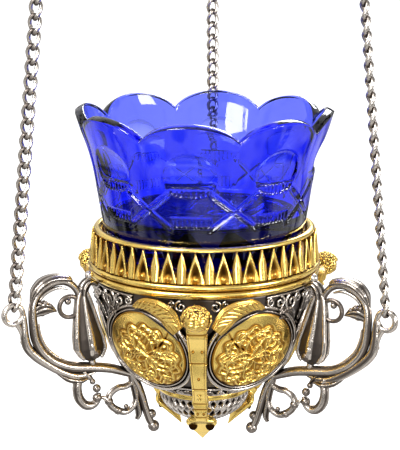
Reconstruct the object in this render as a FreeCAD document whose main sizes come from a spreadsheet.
"""Hanging sanctuary lamp: a cut-glass cup in a gilt gallery, on a silvered bowl with three scroll arms,
three herms and six medallions, hung from three chains.

The shapes are drawn with Z = 0 at the gallery's rim and the first of each set facing the front (-Y).
Every piece's Placement then turns it round the lamp's axis and lowers it, so that the document's origin is
the point on the axis level with the chains' hanging eyes.
"""
import FreeCAD, Part
import math
import os
import Sketcher
from FreeCAD import Placement, Rotation, Vector

SIZES = {
    "hang_height": 108.0,
    # glass cup
    "cup_seat_z": -10.0, "cup_floor_z": 5.0, "cup_foot_radius": 38.4, "cup_waist_radius": 40.0,
    "cup_shoulder_z": 25.0, "cup_shoulder_radius": 43.3, "cup_rim_z": 46.4, "cup_rim_radius": 50.0,
    "cup_wall": 4.2, "cup_notch_depth": 6.6, "cup_notch_half_width": 19.1, "cup_lobes": 8.0,
    "cup_turn": 18.5,
    # gallery
    "rim_radius": 42.6, "rim_half_width": 1.5, "rim_half_height": 1.15,
    "band_top_radius": 43.9, "band_foot_radius": 45.2, "band_wall": 1.1, "band_foot_z": -13.0,
    "window_half_width": 2.1, "window_depth": 6.6, "window_count": 54.0,
    "moulding_radius": 46.6, "moulding_foot_z": -19.0, "seat_radius": 34.0, "seat_height": 2.0,
    # bowl, its lower ring and its dome
    "bowl_wall": 1.6, "ring_radius": 19.2, "ring_bore": 15.8, "ring_top_z": -65.0, "ring_foot_z": -68.0,
    "dome_foot_z": -80.2, "dome_wall": 1.4, "dome_hole_radius": 1.9, "dome_hole_circle": 11.5,
    "dome_holes": 8.0, "screw_radius": 1.5,
    # medallions
    "oval_half_width": 15.6, "oval_half_height": 17.6, "oval_z": -42.5, "oval_tilt": 15.0,
    "oval_thickness": 2.3, "frame_width": 2.2, "frame_thickness": 1.8,
    # herms
    "herm_width": 7.4, "herm_foot_width": 5.6, "herm_head_radius": 5.0, "herm_head_reach": 59.0,
    "herm_head_z": -22.0, "rivet_radius": 1.1, "rivet_z": -22.5,
    # arms and buds
    "arm_wire": 1.9, "scroll_wire": 1.35, "tail_wire": 1.65, "eyelet_reach": 81.2, "eyelet_z": -27.2,
    "eyelet_ring": 3.7, "eyelet_wire": 1.2, "bud_length": 21.0, "bud_radius": 6.0, "bud_reach": 49.6,
    "bud_foot_z": -50.8, "bud_lean": 8.0,
    # chains
    "chain_lean": 6.0, "link_wire": 0.7, "link_inner_length": 5.6, "link_width": 5.6, "link_gap": 0.1,
    "link_count": 23.0, "lower_run_links": 10.0, "eye_thickness": 1.5, "eye_bore": 2.5, "eye_rim": 1.8,
    "eye_rise": 6.4,
}

# Outside of the bowl from its top edge to its foot, as (radius, height).
BOWL_OUTLINE = ((44.0, -19.1), (43.2, -26.0), (40.8, -34.0), (37.0, -44.0), (31.5, -53.0), (25.4, -60.0),
                (19.6, -64.9))
DOME_OUTLINE = ((18.4, -68.1), (18.6, -71.0), (17.6, -74.6), (14.2, -77.8), (9.4, -80.2))

# The arm's curves in its own upright plane, as (distance from the axis, height).
ARM_STEM = ((26, -59), (34, -57.6), (46, -53.2), (58, -51.6), (69, -46), (74.6, -38), (75.2, -28),
            (71, -19), (62.5, -15.2))
ARM_VOLUTE = ((70, -18), (62.5, -14.8), (55.8, -17), (53.6, -23), (55, -29.6), (60.2, -31), (62.8, -26.6),
              (60.6, -22.8), (58.5, -24.2))
ARM_FIRST_CURL = ((59, -51.6), (57.2, -56.5), (56.6, -62.5), (54.6, -68.4), (50, -70), (46.9, -66.4),
                  (47.2, -62.4))
ARM_SECOND_CURL = ((36.5, -57.0), (40.4, -61.4), (43, -66.2), (41, -71.4), (36.8, -74), (33, -71.4),
                   (32.9, -67), (36, -64))
ARM_TAIL = ((32.9, -57.6), (29.6, -63.4), (28, -70), (26, -76), (23.4, -81))
ARM_BALLS = ((58.2, -24.9, 1.8), (47.2, -61.6, 1.9), (22.9, -82, 2.4), (23.6, -76.4, 2.2), (36.6, -64.6, 1.7))

# The herm's side view between its head and its pointed foot, as (distance from the axis, height).
HERM_FRONT = ((57.5, -20.0), (58, -27.5), (50.5, -33.5), (45.6, -41), (37.6, -53))
HERM_LOWER = ((38.0, -52.5), (30.4, -62), (23.8, -71), (18.2, -78.5), (13.4, -85), (12.2, -83.5), (15, -76),
              (18, -66), (26, -56))
GRIP = 0.1  # clear distance kept between a fitted piece and the surface behind it

ARM_SIDES = {"right": 60.0, "left": -60.0, "back": 180.0}
HERM_SIDES = {"front": 0.0, "right": 120.0, "left": -120.0}

doc = FreeCAD.newDocument("sanctuary_lamp")
sheet = doc.addObject("Spreadsheet::Sheet", "sizes")
for row, (alias, number) in enumerate(SIZES.items(), start=1):
    sheet.set(f"A{row}", alias)
    sheet.set(f"B{row}", str(number))
    sheet.setAlias(f"B{row}", alias)
doc.recompute()


def size(alias):
    """One driving dimension, read from the sheet."""
    return float(sheet.get(alias))


def amount(text):
    """Value of a sum such as 'cup_rim_radius - cup_wall', its terms and signs parted by spaces."""
    total, sign = 0.0, 1.0
    for term in text.split():
        if term in "+-":
            sign = 1.0 if term == "+" else -1.0
        else:
            total += sign * (size(term) if term in SIZES else float(term))
    return total


def bound(text):
    """The same sum as an expression on the sheet."""
    return " ".join(f"sizes.{term}" if term in SIZES else term for term in text.split())


def station(turn):
    """Placement that lowers a piece from the gallery's height to the document's, turned about the axis."""
    return Placement(Vector(0, 0, -size("hang_height")), Rotation(Vector(0, 0, 1), turn))


def new_body(label, turn=0.0):
    body = doc.addObject("PartDesign::Body", label)
    body.Label = label
    body.Placement = station(turn)
    body.setExpression("Placement.Base.z", "-sizes.hang_height")
    return body


def origin_part(body, role):
    return next(item for item in body.Origin.OriginFeatures if item.Role == role)


def outline_sketch(body, name, role, corners):
    """A closed outline of straight lines whose corners are sums of the sheet's values."""
    sketch = body.newObject("Sketcher::SketchObject", name)
    sketch.AttachmentSupport = [(origin_part(body, role), "")]
    sketch.MapMode = "FlatFace"
    points = [Vector(amount(across), amount(up), 0) for across, up in corners]
    for index, point in enumerate(points):
        sketch.addGeometry(Part.LineSegment(point, points[(index + 1) % len(points)]), False)
    for index in range(len(points)):
        sketch.addConstraint(Sketcher.Constraint("Coincident", index, 2, (index + 1) % len(points), 1))
    for index, (across, up) in enumerate(corners):
        for kind, text, number in (("DistanceX", across, points[index].x), ("DistanceY", up, points[index].y)):
            item = sketch.addConstraint(Sketcher.Constraint(kind, -1, 1, index, 1, number))
            sketch.setExpression(f"Constraints[{item}]", bound(text))
    return sketch


def revolved_body(label, corners, turn=0.0):
    """A body turned about the lamp's axis from an outline of (radius, height) corners."""
    body = new_body(label, turn)
    sketch = outline_sketch(body, label + "_outline", "XZ_Plane", corners)
    turned = body.newObject("PartDesign::Revolution", label + "_turned")
    turned.Profile = sketch
    turned.ReferenceAxis = (sketch, ["V_Axis"])
    turned.Angle = 360.0
    body.Tip = turned
    doc.recompute()
    return body


def cut_round(body, name, role, corners, depth, count, reversed_cut):
    """Cuts one outline into the body and repeats it round the axis."""
    before = body.Shape.Volume
    sketch = outline_sketch(body, name + "_outline", role, corners)
    pocket = body.newObject("PartDesign::Pocket", name)
    pocket.Profile = sketch
    pocket.Length = depth
    pocket.Reversed = reversed_cut
    doc.recompute()
    if pocket.Shape.Volume > before - 1e-3:
        raise RuntimeError(f"{name} cuts nothing")
    pattern = body.newObject("PartDesign::PolarPattern", name + "_round")
    pattern.Originals = [pocket]
    pattern.Axis = (origin_part(body, "Z_Axis"), [""])
    pattern.Angle = 360.0
    pattern.setExpression("Occurrences", "sizes." + count)
    body.Tip = pattern
    doc.recompute()


def feature(label, shape, turn=0.0):
    """A piece whose shape is worked out from the sheet's values by Part's own functions."""
    piece = doc.addObject("Part::Feature", label)
    piece.Label = label
    own_place = Placement(shape.Placement)
    piece.Shape = shape
    piece.Placement = station(turn).multiply(own_place)
    return piece


def at(reach, height, aside=0.0):
    """A point of the upright plane that faces the front, reach from the axis and aside to the right."""
    return Vector(aside, -reach, height)


def turned_solid(corners):
    """Solid of revolution about the lamp's axis from (radius, height) corners."""
    points = [Vector(radius, 0, height) for radius, height in corners]
    return Part.Face(Part.makePolygon(points + points[:1])).revolve(Vector(), Vector(0, 0, 1), 360)


def plate(corners, width):
    """Upright plate of the given width across the front plane, from (reach, height) corners."""
    points = [at(reach, height, -width / 2) for reach, height in corners]
    return Part.Face(Part.makePolygon(points + points[:1])).extrude(Vector(width, 0, 0))


def bar(corners, radius):
    """Round bar along straight runs joined by the largest tangent arcs that they allow."""
    points = [at(reach, height) for reach, height in corners]
    edges, start = [], points[0]
    for before, corner, after in zip(points, points[1:], points[2:]):
        towards, away = (before - corner).normalize(), (after - corner).normalize()
        half_turn = (math.pi - towards.getAngle(away)) / 2
        reach = 0.45 * min((before - corner).Length, (after - corner).Length)
        arc_start, arc_end = corner + towards * reach, corner + away * reach
        middle = (towards + away).normalize()
        inset = reach * (1 - math.cos(half_turn)) / math.sin(half_turn)
        edges.append(Part.LineSegment(start, arc_start).toShape())
        edges.append(Part.Arc(arc_start, corner + middle * inset, arc_end).toShape())
        start = arc_end
    edges.append(Part.LineSegment(start, points[-1]).toShape())
    path = Part.Wire(edges)
    direction = (points[1] - points[0]).normalize()
    section = Part.Wire(Part.Circle(points[0], direction, radius).toShape())
    return path.makePipeShell([section], True, False)


def envelope(offset):
    """Everything within the bowl's, ring's and dome's outer surface, grown by the offset."""
    corners = [(0, DOME_OUTLINE[-1][1] - offset)]
    corners += [(radius + offset, height - offset / 2) for radius, height in reversed(DOME_OUTLINE)]
    corners += [(size("ring_radius") + offset, size("ring_foot_z") - offset)]
    corners += [(size("ring_radius") + offset, size("ring_top_z"))]
    corners += [(radius + offset, height) for radius, height in reversed(BOWL_OUTLINE)]
    corners += [(0, BOWL_OUTLINE[0][1])]
    return turned_solid(corners)


def gallery():
    """Gallery: half-round rim, pierced band of pointed petals, and the double moulding with the seat."""
    revolved_body("gallery_rim", (
        ("rim_radius - rim_half_width", "0 - rim_half_height"),
        ("rim_radius + rim_half_width", "0 - rim_half_height"),
        ("rim_radius + rim_half_width", "0.3"), ("rim_radius + 0.6", "rim_half_height"),
        ("rim_radius - 0.6", "rim_half_height"), ("rim_radius - rim_half_width", "0.3")))
    feature("gallery_petals", petal_band())
    revolved_body("gallery_moulding", (
        ("seat_radius", "cup_seat_z - 0.2"), ("band_foot_radius - 2.6", "cup_seat_z - 0.2"),
        ("band_foot_radius - 2.6", "band_foot_z - 0.05"), ("moulding_radius - 0.9", "band_foot_z - 0.05"),
        ("moulding_radius", "band_foot_z - 1.4"), ("moulding_radius - 0.7", "band_foot_z - 2.7"),
        ("moulding_radius", "moulding_foot_z + 1.6"), ("moulding_radius - 1.1", "moulding_foot_z"),
        ("band_foot_radius - 4.6", "moulding_foot_z"),
        ("band_foot_radius - 4.6", "cup_seat_z - 0.2 - seat_height"),
        ("seat_radius", "cup_seat_z - 0.2 - seat_height")))


def petal_band():
    """Thin flaring band whose gaps, wide above and pointed below, leave wide and narrow petals in turn."""
    top, wall = -GRIP / 2 - size("rim_half_height"), size("band_wall")
    band = turned_solid((
        (size("band_top_radius") - wall, top), (size("band_top_radius"), top),
        (size("band_foot_radius"), size("band_foot_z")),
        (size("band_foot_radius") - wall, size("band_foot_z"))))
    high, low, half_width = top - 0.9, top - size("window_depth"), size("window_half_width")
    inside = size("band_top_radius") - 5
    corners = [at(inside, high, -half_width), at(inside, high, half_width), at(inside, low, 0.3),
               at(inside, low, -0.3)]
    gap = Part.Face(Part.makePolygon(corners + corners[:1])).extrude(Vector(0, -10, 0))
    count = int(size("window_count"))
    gaps = [gap.copy().rotate(Vector(), Vector(0, 0, 1), (index + 0.5) * 360 / count) for index in range(count)]
    return band.cut(gaps)


def glass_cup():
    """Flared thick-walled cup with a heavy foot and a rim of eight round lobes."""
    cup = revolved_body("glass_cup", (
        ("0", "cup_seat_z"), ("cup_foot_radius - 1.5", "cup_seat_z"), ("cup_foot_radius", "cup_seat_z + 1.5"),
        ("cup_waist_radius", "0"), ("cup_waist_radius + 1.6", "cup_shoulder_z - 10"),
        ("cup_shoulder_radius", "cup_shoulder_z"), ("cup_rim_radius - 3.4", "cup_rim_z - 12"),
        ("cup_rim_radius", "cup_rim_z"), ("cup_rim_radius - cup_wall", "cup_rim_z"),
        ("cup_rim_radius - cup_wall - 3.4", "cup_rim_z - 12"),
        ("cup_shoulder_radius - cup_wall", "cup_shoulder_z"),
        ("cup_waist_radius + 1.6 - cup_wall", "cup_shoulder_z - 10"),
        ("cup_waist_radius - cup_wall", "cup_floor_z + 4"), ("cup_waist_radius - cup_wall - 4", "cup_floor_z"),
        ("0", "cup_floor_z")), size("cup_turn"))
    cup.setExpression("Placement.Rotation.Angle", "sizes.cup_turn")
    cut_round(cup, "rim_notch", "XZ_Plane", (
        ("0", "cup_rim_z - cup_notch_depth"), ("cup_notch_half_width - 13", "cup_rim_z - 2.6"),
        ("cup_notch_half_width - 7", "cup_rim_z - 0.7"), ("cup_notch_half_width", "cup_rim_z"),
        ("cup_notch_half_width", "cup_rim_z + 2"), ("0 - cup_notch_half_width", "cup_rim_z + 2"),
        ("0 - cup_notch_half_width", "cup_rim_z"), ("7 - cup_notch_half_width", "cup_rim_z - 0.7"),
        ("13 - cup_notch_half_width", "cup_rim_z - 2.6")), 60.0, "cup_lobes", True)


def inner_outline(outline, wall):
    """The outline moved in by the wall, square to each stretch's mean slope."""
    moved = []
    for index, (radius, height) in enumerate(outline):
        before, after = outline[max(index - 1, 0)], outline[min(index + 1, len(outline) - 1)]
        slope = math.atan2(before[0] - after[0], before[1] - after[1])
        moved.append((radius - wall * math.cos(slope), height + wall * math.sin(slope)))
    return moved


def bowl():
    """Bowl shell, the ring that closes its foot, and the pierced dome bolted up into that ring."""
    wall = size("bowl_wall")
    inside = inner_outline(BOWL_OUTLINE, wall)
    inside[0] = (BOWL_OUTLINE[0][0] - wall, BOWL_OUTLINE[0][1])
    corners = list(BOWL_OUTLINE) + [(BOWL_OUTLINE[-1][0] - wall, BOWL_OUTLINE[-1][1])] + inside[::-1]
    shell = turned_solid(corners)
    for turn in ARM_SIDES.values():
        shell = shell.cut(arm_screw(GRIP / 2).rotate(Vector(), Vector(0, 0, 1), turn))
    for turn in HERM_SIDES.values():
        shell = shell.cut(herm_rivet(GRIP / 2).rotate(Vector(), Vector(0, 0, 1), turn))
    feature("bowl_shell", shell)
    revolved_body("bowl_ring", (
        ("ring_bore", "ring_top_z"), ("ring_radius - 0.5", "ring_top_z"), ("ring_radius", "ring_top_z - 1.5"),
        ("ring_radius - 0.5", "ring_foot_z"), ("ring_bore", "ring_foot_z")))
    dome_wall = size("dome_wall")
    outside = [(size("screw_radius") + GRIP, size("dome_foot_z"))] + list(reversed(DOME_OUTLINE))
    inside = [(max(radius - dome_wall, size("screw_radius") + GRIP), height + dome_wall)
              for radius, height in DOME_OUTLINE]
    inside[0] = (DOME_OUTLINE[0][0] - dome_wall, DOME_OUTLINE[0][1])
    inside.append((size("screw_radius") + GRIP, size("dome_foot_z") + dome_wall))
    dome = turned_solid(outside + inside)
    holes = int(size("dome_holes"))
    for index in range(holes):
        angle = 2 * math.pi * (index + 0.5) / holes
        centre = Vector(math.cos(angle), math.sin(angle), 0) * size("dome_hole_circle")
        dome = dome.cut(Part.makeCylinder(size("dome_hole_radius"), 30, centre + Vector(0, 0, -90)))
    feature("bottom_dome", dome)
    bridge = Part.makeBox(2 * size("ring_bore") - 0.6, 6, 2, Vector(0.3 - size("ring_bore"), -3, -67.5))
    bore = Part.makeCylinder(size("screw_radius") + 0.05, 10, Vector(0, 0, -72))
    feature("dome_bridge", bridge.cut(bore))
    screw = Part.makeCylinder(size("screw_radius"), 17.0, Vector(0, 0, -81.0))
    head = Part.makeSphere(2.6, Vector(0, 0, size("dome_foot_z")), Vector(0, 0, -1), 0.01, 90, 360)
    feature("dome_screw", screw.fuse(head).removeSplitter())


def oval_prism(grow):
    """Oval bar square to the bowl at a medallion's middle, leaning with the medallion."""
    half_height, half_width = size("oval_half_height") + grow, size("oval_half_width") + grow
    ellipse = Part.Ellipse(Vector(), half_height, half_width).toShape()
    prism = Part.Face(Part.Wire(ellipse)).extrude(Vector(0, 0, 40))
    prism.translate(Vector(0, 0, -12))
    prism.rotate(Vector(), Vector(0, 0, 1), 90 + size("oval_tilt"))
    prism.rotate(Vector(), Vector(1, 0, 0), 90 + 26)
    prism.translate(at(38.0, size("oval_z")))
    return prism


def medallions():
    """Six convex oval medallions in raised oval frames, a mirrored pair beside each herm."""
    cheek = envelope(size("oval_thickness")).cut(envelope(GRIP))
    collar = envelope(size("frame_thickness")).cut(envelope(GRIP))
    disc = cheek.common(oval_prism(0.0))
    ring = collar.common(oval_prism(size("frame_width"))).cut(oval_prism(GRIP))
    axis = Vector(0, 0, 1)
    for side, turn in HERM_SIDES.items():
        for hand, offset in (("a", 30.0), ("b", -30.0)):
            for name, shape in (("medallion", disc), ("medallion_frame", ring)):
                placed = shape.copy() if offset > 0 else shape.mirror(Vector(), Vector(1, 0, 0))
                feature(f"{name}_{side}_{hand}", placed.rotate(Vector(), axis, offset), turn)


def herm_rivet(grow):
    """Rivet from inside the bowl into the back of a herm's shoulders, its flat head against the wall."""
    radius, height = size("rivet_radius") + grow, size("rivet_z")
    shank = Part.makeCylinder(radius, 9.0, at(40.5, height), Vector(0, -1, 0))
    head = Part.makeCylinder(radius + 0.9, 1.2, at(40.3, height), Vector(0, -1, 0))
    return shank.fuse(head)


def herms():
    """Three herms: a winged head over a tapering column that follows the bowl down to a pointed foot."""
    back = envelope(GRIP)
    zone = turned_solid(((0, -61), (60, -61), (60, -24), (0, -24)))
    back = back.fuse(envelope(size("oval_thickness") + 2 * GRIP).common(zone))
    back_edge = ((30, -53), (40, -20.0))
    column = plate(HERM_FRONT + back_edge, size("herm_width"))
    lower = plate(HERM_LOWER, size("herm_foot_width"))
    head = Part.makeSphere(size("herm_head_radius"), at(size("herm_head_reach"), size("herm_head_z")))
    herm = column.fuse([lower, head])
    for hand in (-1, 1):
        lobe = Part.makeSphere(2.3, at(18.2, -79.2, hand * 3.4))
        root, tip = at(53, -26, hand * 3.0), at(40.8, -22, hand * 26.0)
        wing = Part.makeCone(3.0, 1.1, (tip - root).Length, root, tip - root)
        herm = herm.fuse([lobe, wing])
    herm = herm.cut(back)
    herm = max(herm.cut(herm_rivet(GRIP)).Solids, key=lambda solid: solid.Volume)
    for side, turn in HERM_SIDES.items():
        feature(f"herm_{side}", herm.copy(), turn)
    rivets = [herm_rivet(0.0).rotate(Vector(), Vector(0, 0, 1), turn) for turn in HERM_SIDES.values()]
    feature("herm_rivets", Part.makeCompound(rivets))


def arm_screw(grow):
    """Screw through the bowl's wall into an arm's foot, its cheese head inside the bowl."""
    direction = at(31.0, -58.5) - at(23.0, -52.6)
    shank = Part.makeCylinder(0.9 + grow, 10, at(23.0, -52.6), direction)
    head = Part.makeCylinder(1.9 + grow, 1.6, at(22.8, -52.4), direction)
    return shank.fuse(head)


def arms():
    """Three scroll arms with curls, balls and an eyelet for the chain, each with a bud and one screw."""
    stem = bar(ARM_STEM, size("arm_wire"))
    arm = stem.fuse([bar(ARM_VOLUTE, size("scroll_wire")), bar(ARM_FIRST_CURL, size("scroll_wire")),
                     bar(ARM_SECOND_CURL, size("scroll_wire")), bar(ARM_TAIL, size("tail_wire"))])
    for reach, height, radius in ARM_BALLS:
        arm = arm.fuse(Part.makeSphere(radius, at(reach, height)))
    eyelet = Part.makeTorus(size("eyelet_ring"), size("eyelet_wire"),
                            at(size("eyelet_reach"), size("eyelet_z")), Vector(1, 0, 0))
    arm = arm.fuse(eyelet).cut(envelope(size("frame_thickness") + GRIP)).cut(arm_screw(0.02))
    arm = max(arm.Solids, key=lambda solid: solid.Volume)
    for side, turn in ARM_SIDES.items():
        feature(f"arm_{side}", arm.copy(), turn)
    screws = [arm_screw(0.0).rotate(Vector(), Vector(0, 0, 1), turn) for turn in ARM_SIDES.values()]
    feature("arm_screws", Part.makeCompound(screws))
    length, girth = size("bud_length"), size("bud_radius")
    outline = ((0, 0), (0.9, 0), (0.9, 1.2), (0.72 * girth, 3.2), (girth, 0.36 * length),
               (0.8 * girth, 0.55 * length), (0.42 * girth, 0.78 * length), (0.6, length), (0, length))
    bud = turned_solid(outline)
    bud.rotate(Vector(), Vector(1, 0, 0), size("bud_lean"))
    bud.translate(at(size("bud_reach"), size("bud_foot_z")))
    bud = max(bud.cut(arm).Solids, key=lambda solid: solid.Volume)
    for side, turn in ARM_SIDES.items():
        feature(f"bud_{side}", bud.copy(), turn)


def link():
    """One chain link about the origin, long way up, lying across the radius."""
    wire = size("link_wire")
    bend = size("link_width") / 2 - wire
    straight = size("link_inner_length") / 2 - (bend - wire)
    top, foot = straight + bend, -straight - bend
    right_low, right_high = Vector(bend, 0, -straight), Vector(bend, 0, straight)
    left_low, left_high = Vector(-bend, 0, -straight), Vector(-bend, 0, straight)
    path = Part.Wire([
        Part.LineSegment(right_low, right_high).toShape(),
        Part.Arc(right_high, Vector(0, 0, top), left_high).toShape(),
        Part.LineSegment(left_high, left_low).toShape(),
        Part.Arc(left_low, Vector(0, 0, foot), right_low).toShape()])
    section = Part.Wire(Part.Circle(right_low, Vector(0, 0, 1), wire).toShape())
    return path.makePipeShell([section], True, False)


def chains():
    """Three chains: connecting link, lower run, upper run and flat hanging eye, leaning in as they rise."""
    lean = math.radians(size("chain_lean"))
    upward = at(-math.sin(lean), math.cos(lean))
    foot = at(size("eyelet_reach"), size("eyelet_z"))
    first = size("eyelet_ring") - size("eyelet_wire") - size("link_gap") + size("link_inner_length") / 2
    pitch = size("link_inner_length") - size("link_gap")
    flat_link = link()
    links = []
    for index in range(int(size("link_count"))):
        piece = flat_link.copy()
        if index % 2:
            piece.rotate(Vector(), Vector(0, 0, 1), 90)
        piece.rotate(Vector(), Vector(1, 0, 0), -size("chain_lean"))
        piece.translate(foot + upward * (first + index * pitch))
        links.append(piece)
    top_wire = first + (len(links) - 1) * pitch + size("link_inner_length") / 2 + size("link_wire")
    eye = hanging_eye()
    eye.rotate(Vector(), Vector(1, 0, 0), -size("chain_lean"))
    eye.translate(foot + upward * top_wire)
    split = 1 + int(size("lower_run_links"))
    for side, turn in ARM_SIDES.items():
        feature(f"chain_{side}_connector", links[0].copy(), turn)
        feature(f"chain_{side}_lower", Part.makeCompound([piece.copy() for piece in links[1:split]]), turn)
        feature(f"chain_{side}_upper", Part.makeCompound([piece.copy() for piece in links[split:]]), turn)
        feature(f"chain_{side}_eye", eye.copy(), turn)


def hanging_eye():
    """Flat eye: a small lower hole for the top link and a larger free bore above it."""
    thick, rise, bore, rim = (size(name) for name in ("eye_thickness", "eye_rise", "eye_bore", "eye_rim"))
    across = Vector(1, 0, 0)
    low, high = Vector(-thick / 2, 0, -0.1), Vector(-thick / 2, 0, rise)
    small = 1.1
    web = Part.makeBox(thick, 2 * (small + 1.3), rise, Vector(-thick / 2, -small - 1.3, 0))
    eye = Part.makeCylinder(small + 1.5, thick, low, across).fuse([
        web, Part.makeCylinder(bore + rim, thick, high, across)])
    for hole, centre in ((small, low), (bore, high)):
        eye = eye.cut(Part.makeCylinder(hole, thick, centre, across))
    return eye


gallery()
glass_cup()
bowl()
medallions()
herms()
arms()
chains()
doc.recompute()

os.makedirs("parts", exist_ok=True)
for item in doc.Objects:
    if "Invalid" in item.State or "Error" in item.State:
        raise RuntimeError(f"{item.Label} failed: {item.State}")
pieces = [item for item in doc.Objects if item.TypeId in ("PartDesign::Body", "Part::Feature")]
for piece in pieces:
    if piece.Shape.isNull() or not piece.Shape.isValid() or not piece.Shape.Solids:
        raise RuntimeError(f"{piece.Label} has no valid solid")
for piece in pieces:
    piece.Shape.exportStep(os.path.join("parts", piece.Label + ".step"))
    print(f"{piece.Label:26} solids {len(piece.Shape.Solids):3d}  volume {piece.Shape.Volume:10.1f}")
